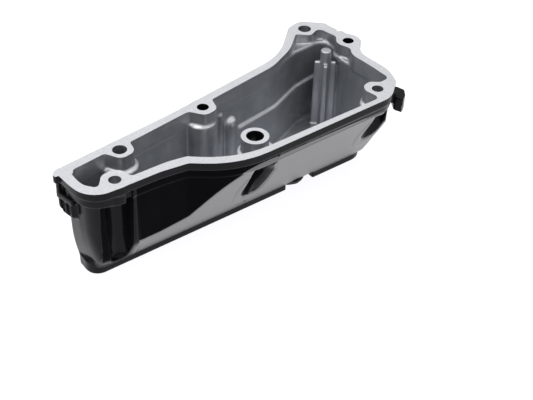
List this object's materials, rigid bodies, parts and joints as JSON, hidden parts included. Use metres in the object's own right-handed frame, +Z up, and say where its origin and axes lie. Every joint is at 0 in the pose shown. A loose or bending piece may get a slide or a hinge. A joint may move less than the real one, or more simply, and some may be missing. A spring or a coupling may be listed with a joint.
{
  "type": "oil sump",
  "caption": "Long narrow die-cast engine oil sump: open tub with a bright machined bolting flange, bolt lugs with sockets, a slanted black near face and a drain plug below.",
  "frame": {"origin": "centre of the footprint on the ground plane under the foot rim", "axes": "+X along the length towards the wide end with the fluted pillar, +Y away from the slanted near face, +Z up out of the open flange"},
  "size_m": [0.2118, 0.09, 0.0605],
  "materials": {
    "black_casting": "gloss black coat outside over die-cast aluminium, bare cast inside, machined bright on the flange face",
    "black_plug": "satin black steel",
    "washer_metal": "satin"
  },
  "bodies": {
    "root": {"sump_casting": "black_casting", "drain_plug": "black_plug", "drain_plug_washer": "washer_metal"}
  },
  "joints": []
}
